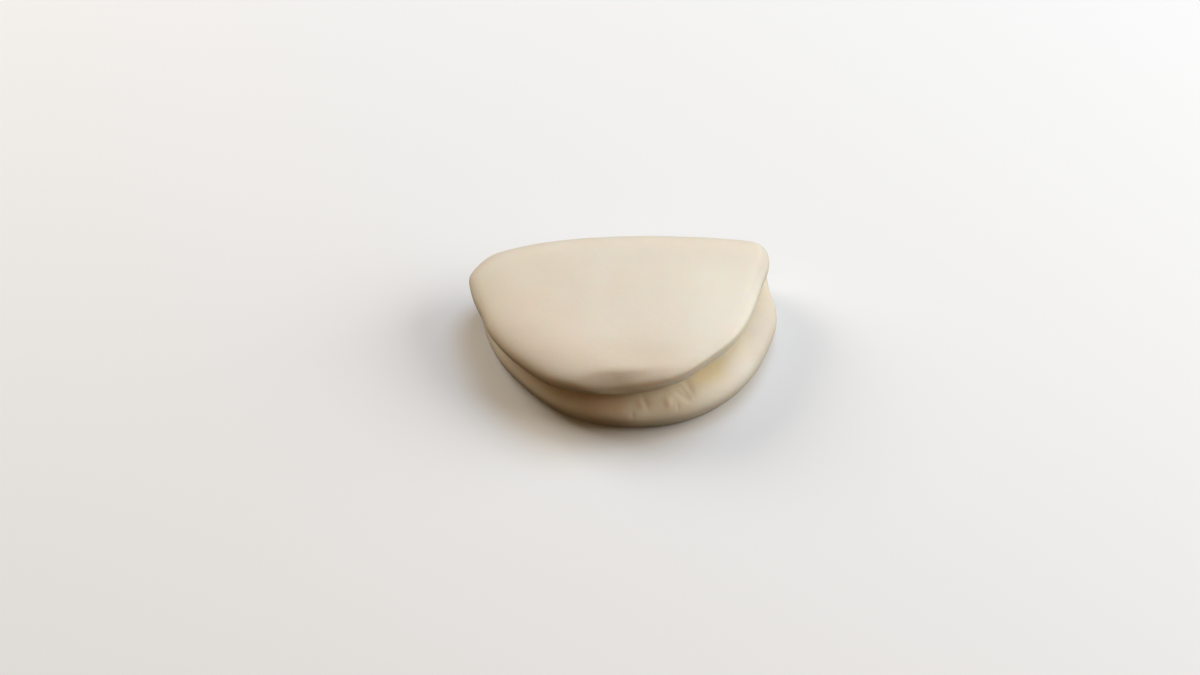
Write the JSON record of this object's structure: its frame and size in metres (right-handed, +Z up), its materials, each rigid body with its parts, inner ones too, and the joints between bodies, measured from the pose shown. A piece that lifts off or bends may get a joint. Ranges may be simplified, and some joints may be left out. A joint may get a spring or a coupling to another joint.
{
  "type": "folded steamed bun",
  "caption": "Plain white steamed bun: an oval of soft dough folded over into a half-round clamshell with a closed mouth, ready to be opened and filled.",
  "frame": {"origin": "on the flat resting face, under the middle of the bun's bounding box", "axes": "+X to the right along the fold, +Y to the back where the fold is, -Y to the front where the mouth is, +Z up"},
  "size_m": [0.1018, 0.0706, 0.0282],
  "materials": {
    "dough": "satin, soft, slightly moist steamed skin"
  },
  "bodies": {
    "root": {"bun": "dough"}
  },
  "joints": []
}
